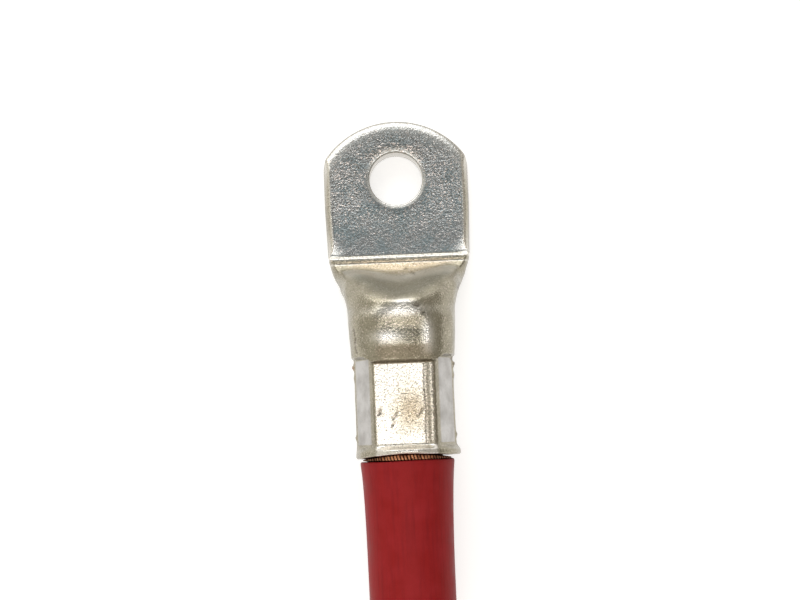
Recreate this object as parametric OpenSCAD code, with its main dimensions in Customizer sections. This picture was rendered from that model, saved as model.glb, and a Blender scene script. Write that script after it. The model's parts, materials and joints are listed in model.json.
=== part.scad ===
// Tubular cable lug for an M8 stud, crimped onto a 70 mm2 flexible cable.
// Origin: axis of the stud hole on the contact plane. +Y towards the tip of the palm,
// -Y along the barrel and the cable, +Z up. Millimetres.

/* [Stud hole] */
// Diameter of the hole for the stud
stud_hole_d = 8.4; // [5.3:0.1:10.5]

/* [Tube] */
// Outer diameter of the tube that the lug is pressed from
tube_d = 16.7; // [15.2:0.1:18]
// Wall of the tube
wall = 2.35; // [1.6:0.05:2.6]

/* [Palm] */
// Width of the palm at its rounded end
palm_w = 23.1; // [20:0.1:26]
// How much narrower the palm is at the step than at its end
palm_taper = 0.5; // [0:0.1:1.5]
// Thickness of the two layers pressed together
palm_t = 4.2; // [3.2:0.1:5]
// Width of each rolled edge beside the pressed pad
fold_w = 1.05; // [0.6:0.05:2]
// Radius of the blanked end
palm_end_r = 13.8; // [12.5:0.1:18]
// From the axis of the stud hole to the tip of the palm
hole_to_tip = 9.3; // [7:0.1:12]
// From the axis of the stud hole to the step behind the pad
hole_to_step = 12.2; // [9:0.1:16]
// Width of the band that the blanking die rolled over
rollover_w = 1.4; // [0.4:0.1:2]
// Depth of that band at the edge
rollover_h = 0.6; // [0.2:0.05:1.2]
// Depth of the hairline seam between the two layers at the blanked end
seam_depth = 0.2; // [0.05:0.05:0.5]

/* [Shoulder] */
// Length of the sloped step behind the pad
step_len = 1.3; // [0.6:0.1:2]
// Height of that step
step_h = 0.4; // [0.2:0.1:1]
// Length over which the pressed section opens into the round barrel
shoulder_len = 7.8; // [5:0.1:12]
// How much sooner the sides of the shoulder rise than its middle
shoulder_dish = 1.4; // [0:0.1:2]

/* [Barrel and crimp] */
// Length of the round barrel before the crimp
barrel_len = 8; // [4:0.1:14]
// Length of the hexagon crimp
crimp_len = 12.8; // [8:0.1:18]
// Height of the hexagon, from its upper flat to its lower one
crimp_h = 12.4; // [11.4:0.1:14]
// Width of the hexagon, from side corner to side corner
crimp_w = 15.6; // [14.4:0.1:16.4]
// Width of its upper and lower flats
crimp_flat_w = 9.5; // [7:0.1:11]
// Radius that the corners of the hexagon keep
crimp_corner_r = 0.65; // [0.3:0.05:1.5]
// Wall of the barrel where it is crimped
crimp_wall = 2.2; // [1.6:0.05:2.8]
// Length over which the round barrel drops to the hexagon
crimp_run = 0.8; // [0.4:0.1:1.5]
// Height of the flash squeezed out beside each end of the crimp
flash_h = 0.4; // [0.1:0.05:0.7]
// Length of the flared lip behind the crimp, at its sides
lip_len = 2; // [1.4:0.1:3]
// How much shorter the lip is at its top and bottom than at its sides
lip_bow = 0.6; // [0:0.1:1]
// Length over which the hexagon flares out into the round lip
flare_run = 1.1; // [0.5:0.1:1.2]
// Diameter of the flared lip
lip_d = 16.3; // [15:0.1:17]
// Radius on the edges of the lip
lip_edge_r = 0.35; // [0.1:0.05:0.5]

/* [Cable] */
// Clearance between the bundle of wires and the round bore
bore_clearance = 0.45; // [0.1:0.05:0.8]
// Clearance between the bundle and the crimped bore
crimp_clearance = 0.05; // [0.02:0.01:0.2]
// Diameter of one wire of the bundle
wire_d = 0.41; // [0.35:0.01:0.6]
// Clearance between the bundle and its insulation
sleeve_clearance = 0.05; // [0.02:0.01:0.2]
// Wall of the insulation
insulation_wall = 1.2; // [0.8:0.1:2]
// How far the insulation swells at its stripped end, on its radius
insulation_swell = 0.6; // [0:0.05:1]
// Length over which that swelling dies away by about two thirds
swell_len = 5; // [2:0.1:6]
// Radius on the stripped rim of the insulation
rim_r = 0.25; // [0.1:0.05:0.5]
// Bare wires between the sides of the lip and the insulation
strip_gap = 0.4; // [0.3:0.1:4]
// How far those wires bulge out, on the radius of the bundle
wire_bulge = 1.3; // [0:0.1:1.4]
// Length of insulated cable behind the gap
stub_len = 26; // [22:0.5:60]
// How far the ends of the wires stop short of the shoulder
wire_setback = 1.5; // [0.5:0.1:3]

/* [Hidden] */

// Points round an outer section and round an inner one, both multiples of six
outer_points = 72;
inner_points = 36;
// Share of each quarter of a section that the rolled edge takes
fold_share = 4 / 18;
// Steps along each stretch of the loft
step_steps = 4;
shoulder_steps = 18;
run_steps = 4;
crimp_steps = 6;
edge_steps = 3;
swell_steps = 8;
// Amount by which cutting solids pass the surface that they cut
past = 1;

tube_r = tube_d / 2;
bore_r = tube_r - wall;
axis_z = tube_r;
lip_r = lip_d / 2;

tip_y = hole_to_tip;
end_centre_y = tip_y - palm_end_r;
step_y = -hole_to_step;
shoulder_y = step_y - step_len;
barrel_y = shoulder_y - shoulder_len;
crimp_y = barrel_y - barrel_len;
lip_y = crimp_y - crimp_len;
end_y = lip_y - lip_len;

// The dish stays short beside the shoulder, so that the rings keep their order
dish = min(shoulder_dish, shoulder_len / 4);
// Direction of the hexagon's sloping flats, and their distance from the axis
crimp_slope = atan((crimp_w - crimp_flat_w) / crimp_h);
crimp_slope_reach = crimp_w / 2 * cos(crimp_slope);
// Exponent that rounds the corners: the higher it is, the sharper they are
crimp_sharpness = ln(2) * crimp_w / 2 / (crimp_corner_r * (1 / cos(30) - 1));
// Height of the slit that the pressed walls leave at the closed end of the bore
slit_h = 0.3;
// Share of the shoulder's height that its low first ramp takes
ramp_share = 0.22;
// Where along the shoulder its steep part starts, and how long that is
steep_start = 0.2;
steep_run = 0.75;
// Space that the bulging wires leave to the lip and to the insulation
bulge_clearance = 0.05;
// Chamfer at the mouth of the bore
mouth_chamfer = 0.3;

conductor_r = bore_r - bore_clearance;
wires_in_ring = floor(PI * (2 * conductor_r - wire_d) / wire_d);
wire_start_y = barrel_y - wire_setback;
insulation_bore_r = conductor_r + sleeve_clearance;
insulation_r = insulation_bore_r + insulation_wall;
rim_y = end_y - strip_gap;
cut_y = rim_y - stub_len;

function clamp01(u) = max(0, min(1, u));
function ease(u) = clamp01(u) * clamp01(u) * (3 - 2 * clamp01(u));
// Level at both ends, and steeper between than ease()
function steep_ease(u) = let (t = clamp01(u)) t * t * t * (10 - 15 * t + 6 * t * t);
function mix(a, b, u) = a + (b - a) * u;

// Half the width of the outer section at y, from the palm to the barrel
function half_width(y) =
    y >= end_centre_y ? palm_w / 2
    : y >= step_y ? palm_w / 2 - palm_taper / 2 * (end_centre_y - y) / (end_centre_y - step_y)
    : mix(palm_w / 2 - palm_taper / 2, tube_r, shoulder_width_share(y));
// The shoulder narrows almost in a straight line, eased a little at both ends
function shoulder_width_share(y) =
    let (u = clamp01((step_y - y) / (step_y - barrel_y)))
    mix(u, ease(u), 0.6);
// Height of the top of the outer section at y
function top_height(y) =
    y >= shoulder_y ? palm_t + step_h * ease((step_y - y) / step_len)
    : mix(palm_t + step_h, tube_d, rise(opening(y)));
// The shoulder starts as a low ramp, climbs steeply and rounds over into the barrel
function rise(u) = mix(steep_ease((u - steep_start) / steep_run), sin(90 * u), ramp_share);
// 0 where the section is still pressed flat, 1 where it is round
function opening(y) = clamp01((shoulder_y - y) / shoulder_len);

// The shoulder's top is dished: between its middle and its sides it lies further forward. The
// factor makes the greatest move equal to the dish.
function dished(y, x) =
    let (share = abs(x) / half_width(y))
    y + dish * pow(sin(180 * opening(y)), 2) * 2.6 * pow(share, 2) * (1 - pow(share, 4));

// One point of a pressed section: a flat with a half ellipse at each side
function pressed_point(a, half_h, fold, phi) =
    let (quarter = phi <= 90 ? phi : phi <= 180 ? 180 - phi : phi <= 270 ? phi - 180 : 360 - phi)
    let (right = phi < 90 || phi > 270 ? 1 : -1)
    let (up = phi <= 180 ? 1 : -1)
    let (share = quarter / 90)
    let (turn = 90 * clamp01(share / fold_share))
    let (flat_left = 1 - clamp01((share - fold_share) / (1 - fold_share)))
    share <= fold_share
        ? [right * (a - fold + fold * cos(turn)), up * half_h * sin(turn)]
        : [right * (a - fold) * flat_left, up * half_h];
// One point of a section between the pressed form and the ellipse of the same width and height
function opened_point(a, half_h, fold, open, phi) =
    mix(pressed_point(a, half_h, min(fold, a), phi), [a * cos(phi), half_h * sin(phi)], open);

// Distance from the axis to the hexagon that lies a given inset inside the outer one. A smooth
// minimum of the distances to its three pairs of flats rounds the corners.
function hexagon_r(inset, phi) =
    let (upper = abs(sin(phi)) / (crimp_h / 2 - inset))
    let (rising = abs(cos(phi - crimp_slope)) / (crimp_slope_reach - inset))
    let (falling = abs(cos(phi + crimp_slope)) / (crimp_slope_reach - inset))
    let (p = crimp_sharpness)
    pow(pow(upper, p) + pow(rising, p) + pow(falling, p), -1 / p);
// The flash stands along the two side corners and grows towards both ends of the crimp
function flash(y, phi) =
    let (along = pow(abs(2 * (y - crimp_y) / crimp_len + 1), 4))
    let (off = min(phi, abs(phi - 180), 360 - phi))
    flash_h * along * exp(-off * off / 10);
// 0 on the round barrel and lip, 1 on the hexagon
function pressing(y) =
    y >= lip_y ? ease((crimp_y - y) / crimp_run) : 1 - ease((lip_y - y) / flare_run);
// Radius of the round stretches: the barrel, and the lip with its rounded edge
function round_r(y) =
    y >= lip_y ? tube_r
    : y >= end_y + lip_edge_r ? lip_r
    : lip_r - lip_edge_r + sqrt(max(0, pow(lip_edge_r, 2) - pow(end_y + lip_edge_r - y, 2)));
// The lip's rings bow forward at top and bottom, ever more towards the open end
function bowed(y, phi) = y + lip_bow * clamp01((lip_y - y) / lip_len) * pow(sin(phi), 2);

// A closed ring of points round the section at y
function outer_ring(y) = [
    for (i = [0:outer_points - 1])
    let (phi = 360 * i / outer_points)
    let (half_h = top_height(y) / 2)
    let (flat = opened_point(half_width(y), half_h, fold_w, ease(opening(y)), phi))
    let (hexagon = hexagon_r(0, phi) + flash(y, phi))
    let (r = mix(round_r(y), hexagon, pressing(y)))
    y >= barrel_y
        ? [flat[0], phi < 180 ? dished(y, flat[0]) : y, half_h + flat[1]]
        : [r * cos(phi), bowed(y, phi), axis_z + r * sin(phi)]
];
function inner_ring(y) = [
    for (i = [0:inner_points - 1])
    let (phi = 360 * i / inner_points)
    let (half_h = max(slit_h, top_height(y) - 2 * wall) / 2)
    let (flat = opened_point(half_width(y) - wall, half_h, half_h, ease(opening(y)), phi))
    let (hexagon = hexagon_r(crimp_wall, phi))
    let (mouth = mouth_chamfer * clamp01((end_y + mouth_chamfer - y) / mouth_chamfer))
    let (r = mix(bore_r + mouth, hexagon, pressing(y)))
    y >= barrel_y
        ? [flat[0], y, top_height(y) / 2 + flat[1]]
        : [r * cos(phi), bowed(y, phi), axis_z + r * sin(phi)]
];

// Places of the rings along Y, from the tip to the open end
shoulder_places = [
    for (i = [1:step_steps]) step_y - step_len * i / step_steps,
    for (i = [1:shoulder_steps]) shoulder_y - shoulder_len * i / shoulder_steps
];
crimp_places = [
    for (i = [0:run_steps]) crimp_y - crimp_run * i / run_steps,
    for (i = [1:crimp_steps]) mix(crimp_y - crimp_run, lip_y, i / crimp_steps),
    for (i = [1:run_steps]) lip_y - flare_run * i / run_steps
];
edge_places = [
    for (i = [0:edge_steps]) end_y + lip_edge_r * (1 - sin(90 * i / edge_steps))
];
outer_places = [
    tip_y + past,
    end_centre_y,
    step_y,
    each shoulder_places,
    each crimp_places,
    each edge_places
];
inner_places = [
    each [for (y = shoulder_places) if (y <= shoulder_y) y],
    each [for (y = crimp_places) if (y > end_y + mouth_chamfer) y],
    end_y + mouth_chamfer,
    end_y,
    end_y - past
];

// A closed solid through rings of the same number of points that follow each other along -Y.
// The first ring is flat. The last one may be bowed, so a fan about its middle closes it.
module loft(rings) {
    count = len(rings[0]);
    last = len(rings) - 1;
    sides = [
        for (j = [0:last - 1], i = [0:count - 1])
        let (a = j * count + i)
        let (b = j * count + (i + 1) % count)
        each [[a, b + count, b], [a, a + count, b + count]]
    ];
    tip = [for (i = [0:count - 1]) i];
    middle = len(rings) * count;
    tail = [for (i = [0:count - 1]) [last * count + (i + 1) % count, last * count + i, middle]];
    opposite = count / 2;
    centre = (rings[last][0] + rings[last][opposite]) / 2;
    polyhedron([for (ring = rings) each ring, centre], [tip, each sides, each tail]);
}

// What the blanking die leaves: a disc with a rolled-over top edge and a seam at half height
module blanked_end() {
    roll = [
        for (i = [0:6])
        let (turn = 15 * i)
        [palm_end_r - rollover_w * (1 - cos(turn)), palm_t - rollover_h * (1 - sin(turn))]
    ];
    translate([0, end_centre_y, 0])
    rotate_extrude($fn = 96)
    polygon([
        [0, -past],
        [palm_end_r, -past],
        [palm_end_r, palm_t / 2 - seam_depth / 2],
        [palm_end_r - seam_depth, palm_t / 2],
        [palm_end_r, palm_t / 2 + seam_depth / 2],
        each roll,
        [palm_end_r - rollover_w, palm_t + past],
        [0, palm_t + past]
    ]);
    translate([-palm_w, end_y - past, -past])
    cube([2 * palm_w, end_centre_y - end_y + past, tube_d + 2 * past]);
}

module lug() {
    color([0.74, 0.73, 0.7])
    difference() {
        intersection() {
            loft([for (y = outer_places) outer_ring(y)]);
            blanked_end();
        }
        loft([for (y = inner_places) inner_ring(y)]);
        translate([0, 0, -past])
        cylinder(d = stud_hole_d, h = palm_t + 2 * past, $fn = 64);
    }
}

// Extrudes a section drawn about the barrel's axis from one place to another along -Y
module along_barrel(from_y, to_y) {
    translate([0, from_y, axis_z])
    rotate([90, 0, 0])
    linear_extrude(height = from_y - to_y)
    children();
}

// Outline of the bundle: the outer part of each wire of its outer ring stands out
module bundle_section(bulge = 0) {
    ring_r = conductor_r + bulge - wire_d / 2;
    polygon([
        for (w = [0:wires_in_ring - 1], bend = [-60:40:60])
        let (spoke = 360 * w / wires_in_ring)
        ring_r * [cos(spoke), sin(spoke)] + wire_d / 2 * [cos(spoke + bend), sin(spoke + bend)]
    ]);
}

// The bundle where it is pressed into the crimped bore, drawn on the same spokes as the bore
module crimped_section() {
    polygon([
        for (i = [0:inner_points - 1])
        let (phi = 360 * i / inner_points)
        hexagon_r(crimp_wall + crimp_clearance, phi) * [cos(phi), sin(phi)]
    ]);
}

module conductor() {
    color([0.72, 0.43, 0.26])
    union() {
        along_barrel(wire_start_y, crimp_y) bundle_section();
        along_barrel(crimp_y, lip_y - flare_run) crimped_section();
        along_barrel(lip_y - flare_run, cut_y) bundle_section();
        along_barrel(end_y - bulge_clearance, rim_y + bulge_clearance) bundle_section(wire_bulge);
    }
}

// Outer radius of the insulation at a distance from its stripped rim: the swelling dies away
// and has gone at three times its length, where the plain cylinder starts
swell_end = 3 * swell_len;
function insulation_outer(s) =
    insulation_r + insulation_swell * (exp(-s / swell_len) - exp(-3) * s / swell_end);

module insulation() {
    rim = [
        for (i = [0:3])
        let (turn = 30 * i)
        [insulation_outer(rim_r) - rim_r * (1 - sin(turn)), rim_r * (1 - cos(turn))]
    ];
    swell = [
        for (i = [1:swell_steps - 1])
        let (s = mix(rim_r, swell_end, pow(i / swell_steps, 1.5)))
        [insulation_outer(s), s]
    ];
    color([0.58, 0.1, 0.1])
    translate([0, rim_y, axis_z])
    rotate([90, 0, 0])
    rotate_extrude($fn = 96)
    polygon([
        [insulation_bore_r, 0],
        each rim,
        each swell,
        [insulation_r, swell_end],
        [insulation_r, stub_len],
        [insulation_bore_r, stub_len]
    ]);
}

lug();
conductor();
insulation();
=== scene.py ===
"""Looks of a tin-plated copper cable lug, crimped onto a red insulated cable.

The frame's origin is the axis of the stud hole on the contact plane. +Y points at the tip of the
palm, the barrel and the cable run along -Y, and +Z is up. Shapes are worked out in millimetres
and put into the meshes in metres.
"""

import json
from types import SimpleNamespace

import bpy
import numpy as np
from mathutils import Matrix, Vector


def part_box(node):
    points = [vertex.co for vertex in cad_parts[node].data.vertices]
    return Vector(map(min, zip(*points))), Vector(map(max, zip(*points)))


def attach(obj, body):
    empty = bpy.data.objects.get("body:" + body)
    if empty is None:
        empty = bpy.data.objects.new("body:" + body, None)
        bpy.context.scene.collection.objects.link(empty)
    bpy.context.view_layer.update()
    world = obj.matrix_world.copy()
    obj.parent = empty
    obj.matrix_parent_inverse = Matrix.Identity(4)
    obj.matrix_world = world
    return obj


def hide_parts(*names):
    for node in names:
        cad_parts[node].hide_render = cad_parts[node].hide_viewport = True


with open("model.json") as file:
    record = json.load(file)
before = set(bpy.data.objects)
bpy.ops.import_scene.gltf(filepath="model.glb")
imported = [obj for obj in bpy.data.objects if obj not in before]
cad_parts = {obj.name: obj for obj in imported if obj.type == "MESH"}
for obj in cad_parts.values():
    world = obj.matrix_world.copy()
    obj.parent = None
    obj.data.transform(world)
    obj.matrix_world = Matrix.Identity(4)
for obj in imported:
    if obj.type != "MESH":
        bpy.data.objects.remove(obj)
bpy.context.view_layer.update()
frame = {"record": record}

bl_info = {
    "name": "Crimped cable lug",
    "version": (1, 0, 0),
    "blender": (4, 5, 0),
    "location": "3D View > Sidebar > Cable Lug",
    "description": "Builds the surfaces, materials and stage of a crimped cable lug",
    "category": "Object",
}

MM = 0.001


def length(name, description, mm):
    """A length that a user can change, shown in scene units."""
    return bpy.props.FloatProperty(
        name=name, description=description, default=mm * MM, min=0, precision=5, unit="LENGTH"
    )


def colour(name, description, code):
    """A colour that a user can change, given as an sRGB hex code."""
    return bpy.props.FloatVectorProperty(
        name=name, description=description, default=linear(code)[:3], size=3, subtype="COLOR",
        min=0, max=1,
    )


def linear(code):
    """Linear RGBA of an sRGB hex code such as "C8C4BA"."""
    srgb = np.array([int(code[k:k + 2], 16) / 255 for k in (0, 2, 4)])
    rgb = np.where(srgb <= 0.04045, srgb / 12.92, ((srgb + 0.055) / 1.055) ** 2.4)
    return (*rgb.tolist(), 1.0)


# Sizes and colours -------------------------------------------------------------------------------

class LugSizes(bpy.types.PropertyGroup):
    palm_thickness: length("Palm thickness", "Two layers of the tube pressed together", 4.2)
    palm_taper: length("Palm taper", "How much narrower the palm is at the step", 0.5)
    fold_width: length("Fold width", "Width of the rolled edge beside the pad", 1.05)
    blank_radius: length("Blank radius", "Radius of the rounded end of the palm", 13.8)
    rollover_width: length("Roll-over width", "Width of the band rolled over by the die", 1.4)
    rollover_depth: length("Roll-over depth", "Depth of that band at its edge", 0.5)
    hole_bevel: length("Hole bevel", "Width of the rounded edge of the stud hole", 0.3)
    step_distance: length("Step distance", "From the stud hole's axis to the step", 12.2)
    step_length: length("Step length", "Length of the riser and the ledge behind it", 1.3)
    step_height: length("Step height", "Height of the step over the pad", 0.4)
    shoulder_length: length("Shoulder length", "Where the flat section opens", 7.8)
    shoulder_dish: length("Shoulder dish", "How much sooner its sides rise than its middle", 1.4)
    barrel_length: length("Barrel length", "Round barrel before the crimp", 8.0)
    crimp_length: length("Crimp length", "Length of the hexagon", 12.8)
    crimp_height: length("Crimp height", "From the upper flat to the lower one", 12.4)
    crimp_width: length("Crimp width", "From side corner to side corner", 15.6)
    crimp_flat: length("Crimp flat", "Width of the upper and lower flats", 9.5)
    crimp_corner: length("Crimp corner", "Radius that the corners keep", 0.65)
    crimp_wall: length("Crimp wall", "Wall of the barrel in the crimp", 2.2)
    wall: length("Tube wall", "Wall of the tube", 2.35)
    lip_bow: length("Lip bow", "How much shorter the lip is at its top than at its sides", 0.6)
    lip_edge: length("Lip edge", "Radius on the edges of the lip", 0.35)


class CableSizes(bpy.types.PropertyGroup):
    wire_diameter: length("Wire diameter", "One wire of the bundle", 0.41)
    wire_lay: length("Lay length", "Length in which a wire turns once round the bundle", 150.0)
    wire_bulge: length("Wire bulge", "How far the wires bulge out beside the lip", 1.3)
    sheath_wall: length("Insulation wall", "Wall of the insulation", 1.2)
    rim_radius: length("Rim radius", "Radius on the stripped rim", 0.25)


class Finishes(bpy.types.PropertyGroup):
    tin: colour("Tin plate", "Bright tin, burnished by the dies", "C9C5BC")
    tin_aged: colour("Aged tin", "Tin dulled by handling and by the press", "9C9786")
    tin_cool: colour("Pressed tin", "Cool grey of the pressed pad", "9C9FA1")
    copper: colour("Copper", "Copper where the tin is scraped off", "96664A")
    wire: colour("Wire", "Drawn copper wire", "BE8462")
    pvc: colour("Insulation", "Red PVC", "861516")


def in_mm(group):
    """The group's lengths in millimetres, as plain attributes."""
    return SimpleNamespace(**{key: getattr(group, key) / MM for key in group.__annotations__})


# Small functions of shape ------------------------------------------------------------------------

def ease(u):
    """0 below 0, 1 above 1, and a smooth cubic between."""
    u = np.clip(u, 0, 1)
    return u * u * (3 - 2 * u)


def steep_ease(u):
    """As ease, but flatter at both ends and steeper between."""
    u = np.clip(u, 0, 1)
    return u ** 3 * (10 - 15 * u + 6 * u * u)


def mix(a, b, u):
    return a + (b - a) * u


def hump(x, centre, width):
    """A bell of height 1."""
    return np.exp(-((x - centre) / width) ** 2)


def band(x, low, high, rise, fall):
    """1 between low and high, easing in over rise from low and out over fall to high."""
    return ease((x - low) / rise) * ease((high - x) / fall)


def stretch(start, stop, step):
    """Places from just after start to stop, evenly spaced by about step."""
    count = max(1, int(round(abs(stop - start) / step)))
    return start + (stop - start) * np.arange(1, count + 1) / count


def wobble(points, wavelength, seed, count=14):
    """Smooth noise of unit spread: cosines of about one wavelength in random directions."""
    random = np.random.default_rng(seed)
    axes = random.normal(size=(count, 3))
    axes *= 2 * np.pi / wavelength / np.linalg.norm(axes, axis=1, keepdims=True)
    axes *= random.uniform(0.7, 1.4, (count, 1))
    phases = random.uniform(0, 2 * np.pi, count)
    return np.cos(points @ axes.T + phases).sum(axis=1) * np.sqrt(2 / count)


def near_stroke(x, y, stroke):
    """1 on a stroke from (x0, y0) to (x1, y1), fading over its width."""
    x0, y0, x1, y1, width = stroke
    along = ((x - x0) * (x1 - x0) + (y - y0) * (y1 - y0)) / ((x1 - x0) ** 2 + (y1 - y0) ** 2)
    along = np.clip(along, 0, 1)
    off = np.hypot(x - mix(x0, x1, along), y - mix(y0, y1, along))
    return np.exp(-(off / width) ** 2)


def full_turn(count):
    """Angles evenly spaced round a circle."""
    return 2 * np.pi * np.arange(count) / count


def spokes(angle):
    """Unit vectors in plan at the angles."""
    return np.stack([np.cos(angle), np.sin(angle)], -1)


def lifted(plan, z):
    """Places in plan with their heights, one for all or one for each."""
    return np.concatenate([plan, np.broadcast_to(z, plan.shape[:-1])[..., None]], -1)


def around(r, phi, y, z, x=0, *more):
    """Points at a distance r, in the direction phi, from an axis that runs along Y at x and z.
    More values may follow a point's three coordinates."""
    values = np.broadcast_arrays(x + r * np.cos(phi), y, z + r * np.sin(phi), *more)
    return np.stack(values, -1)


# Meshes ------------------------------------------------------------------------------------------

def grid(points, closed=False, flip=False):
    """Points of a grid of rows and columns with its triangles; closed joins the last column to the
    first, and flip turns the triangles round. Values may follow a point's three coordinates."""
    rows, columns = points.shape[:2]
    j, i = np.mgrid[0:rows - 1, 0:columns - (0 if closed else 1)]
    a = j * columns + i
    b = j * columns + (i + 1) % columns
    triangles = np.concatenate([np.stack(t, -1).reshape(-1, 3)
                                for t in ((a, b, b + columns), (a, b + columns, a + columns))])
    return points.reshape(-1, points.shape[2]), triangles[:, ::-1] if flip else triangles


def weld(*grids):
    """One surface from grids that share border points: points that agree to a tenth of a micron
    become one, and triangles that shrink to a line are dropped."""
    offsets = np.cumsum([0] + [len(points) for points, _ in grids[:-1]])
    points = np.concatenate([points for points, _ in grids])
    triangles = np.concatenate([t + offset for (_, t), offset in zip(grids, offsets)])
    keys = np.round(points[:, :3] * 1e4).astype(np.int64)
    _, kept, index = np.unique(keys, axis=0, return_index=True, return_inverse=True)
    triangles = index.reshape(-1)[triangles]
    a, b, c = triangles.T
    return points[kept], triangles[(a != b) & (b != c) & (c != a)]


def vertex_normals(points, triangles):
    """Unit normals at the points, each triangle counted by its area."""
    a, b, c = (points[triangles[:, k]] for k in range(3))
    across = np.cross(b - a, c - a)
    normals = np.zeros_like(points)
    for k in range(3):
        for axis in range(3):
            normals[:, axis] += np.bincount(triangles[:, k], across[:, axis], len(points))
    return normals / np.maximum(np.linalg.norm(normals, axis=1, keepdims=True), 1e-12)


def add_piece(name, points, triangles, material, node, zones=()):
    """Puts a shape into a new object that stands for a CAD node."""
    mesh = bpy.data.meshes.new(name)
    mesh.from_pydata((points * MM).tolist(), [], triangles.tolist())
    mesh.polygons.foreach_set("use_smooth", [True] * len(mesh.polygons))
    for zone, values in dict(zones).items():
        layer = mesh.attributes.new(zone, "FLOAT", "POINT")
        layer.data.foreach_set("value", np.clip(values, 0, 1).astype(np.float32))
    mesh.materials.append(material)
    mesh.validate()
    piece = bpy.data.objects.new(name, mesh)
    bpy.context.scene.collection.objects.link(piece)
    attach(piece, "root")
    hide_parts(node)
    return piece


# The lug -----------------------------------------------------------------------------------------

# How far a sharp hexagon's corner passes a rounded one's, per radius: 1 / cos(30 degrees) - 1
CORNER_SHARE = 0.1547
# Least half height of the slit where the pressed walls meet, and clearances inside the lug, in mm
SLIT_HALF = 0.15
CRIMP_CLEARANCE = 0.05
SLEEVE_CLEARANCE = 0.05
# Height of the ridge beside the pad, and how soon it fades to either side
RIDGE_HEIGHT = 0.09
RIDGE_FADE = 0.22
# Width and height of the bevel at the lower end of the stud hole
HOLE_FOOT = 0.15
# Radius of the lip, how far the barrel's top stays below the tube's for the marks on it, and where
# the crease along the crimp's upper flat lies, in mm
LIP_RADIUS = 8.0
BARREL_DROP = 0.18
CREASE_X = 3.35
# Points round a section: rolled edges of FOLD_STEPS each side of the widest point, flats between
FOLD_STEPS = 12
FLAT_STEPS = 84
SECTION_POINTS = 4 * FOLD_STEPS + 2 * FLAT_STEPS
SECTION_ANGLES = np.pi / 2 * np.arange(SECTION_POINTS) / (SECTION_POINTS / 4)
# Steps along each side of the palm and along its blanked end, and how often its corners soften
SIDE_STEPS = 50
ARC_STEPS = 90
SOFTENING = 14


def lug_stations():
    """The lug's sizes in millimetres with the places along Y that follow from them. The palm's
    width and tip, the tube, the open end and the stud hole come from the frame."""
    s = in_mm(bpy.context.scene.lug_sizes)
    low, high = (np.array(corner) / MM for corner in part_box("lug"))
    mounts = {mount["name"]: mount for mount in frame["record"]["mounts"]}
    s.hole_r = mounts["stud_hole"]["dims"]["r_mm"]
    s.palm_half = (high[0] - low[0]) / 2
    s.tube_r = (high[2] - low[2]) / 2
    s.axis_z = s.tube_r
    s.tip_y = high[1]
    s.end_y = low[1]
    s.end_centre = s.tip_y - s.blank_radius
    s.step_y = -s.step_distance
    s.shoulder_y = s.step_y - s.step_length
    s.barrel_y = s.shoulder_y - s.shoulder_length
    s.crimp_y = s.barrel_y - s.barrel_length
    s.lip_y = s.crimp_y - s.crimp_length
    s.bore_r = s.tube_r - s.wall
    s.slope = np.arctan((s.crimp_width - s.crimp_flat) / s.crimp_height)
    s.sharpness = np.log(2) * s.crimp_width / 2 / (s.crimp_corner * CORNER_SHARE)
    return s


def palm_side(s, y):
    """Half the palm's width at y: straight by the tip, tapered towards the step."""
    back = np.clip((s.end_centre - y) / (s.end_centre - s.step_y), 0, 1)
    return s.palm_half - s.palm_taper / 2 * back


def fold_at(s, y):
    """Width of the rolled edge: the pad's tool was wider right at the step, so the edge thins."""
    return s.fold_width - 0.72 * hump(y, s.step_y, 1.0)


def half_width(s, y):
    """Half the section's width behind the step: almost straight down the shoulder, eased at both
    ends, and drawn in a little where the barrel nears the crimp."""
    u = np.clip((s.step_y - y) / (s.step_y - s.barrel_y), 0, 1)
    drawn = 0.3 * ease((s.barrel_y - y) / s.barrel_length)
    return mix(s.palm_half - s.palm_taper / 2, s.tube_r, mix(u, ease(u), 0.6)) - drawn


def top_at(s, y):
    """Height of the top: a short riser, a ledge, then the shoulder, which starts as a low ramp,
    climbs steeply and rounds over into the barrel. The barrel falls away before the crimp."""
    u = (s.step_y - y) / s.step_length
    step = s.palm_thickness + s.step_height * (0.7 * ease(u / 0.34) + 0.3 * ease((u - 0.5) / 0.5))
    open_ = np.clip((s.shoulder_y - y) / s.shoulder_length, 0, 1)
    climb = mix(steep_ease((open_ - 0.2) / 0.75), ease((open_ - 0.12) / 0.83), 0.5)
    rise = mix(climb, np.sin(np.pi / 2 * open_), 0.22)
    fall = 0.8 * ease((s.crimp_y + 2.4 - y) / 2.5)
    return mix(step, 2 * s.tube_r - BARREL_DROP, rise) - fall


def rounded_section(a, h, power, phi):
    """Point of a superellipse of half axes a and h in the direction phi from its centre."""
    r = ((np.abs(np.cos(phi)) / a) ** power + (np.abs(np.sin(phi)) / h) ** power) ** (-1 / power)
    return r * np.cos(phi), r * np.sin(phi)


def pressed_section(a, h, fold, phi):
    """Point of a flat bar of half width a and half height h whose sides are half ellipses. Each
    quarter gives a share of its angle to the rolled edge and the rest to the flat."""
    share = np.arcsin(np.clip(np.abs(np.sin(phi)), 0, 1)) / (np.pi / 2)
    fold_share = FOLD_STEPS / (FOLD_STEPS + FLAT_STEPS / 2)
    turn = np.pi / 2 * np.clip(share / fold_share, 0, 1)
    flat = 1 - np.clip((share - fold_share) / (1 - fold_share), 0, 1)
    on_fold = share <= fold_share + 1e-9
    x = np.where(on_fold, a - fold + fold * np.cos(turn), (a - fold) * flat)
    z = np.where(on_fold, h * np.sin(turn), h)
    return np.where(np.cos(phi) >= 0, x, -x), np.where(np.sin(phi) >= 0, z, -z)


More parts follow.
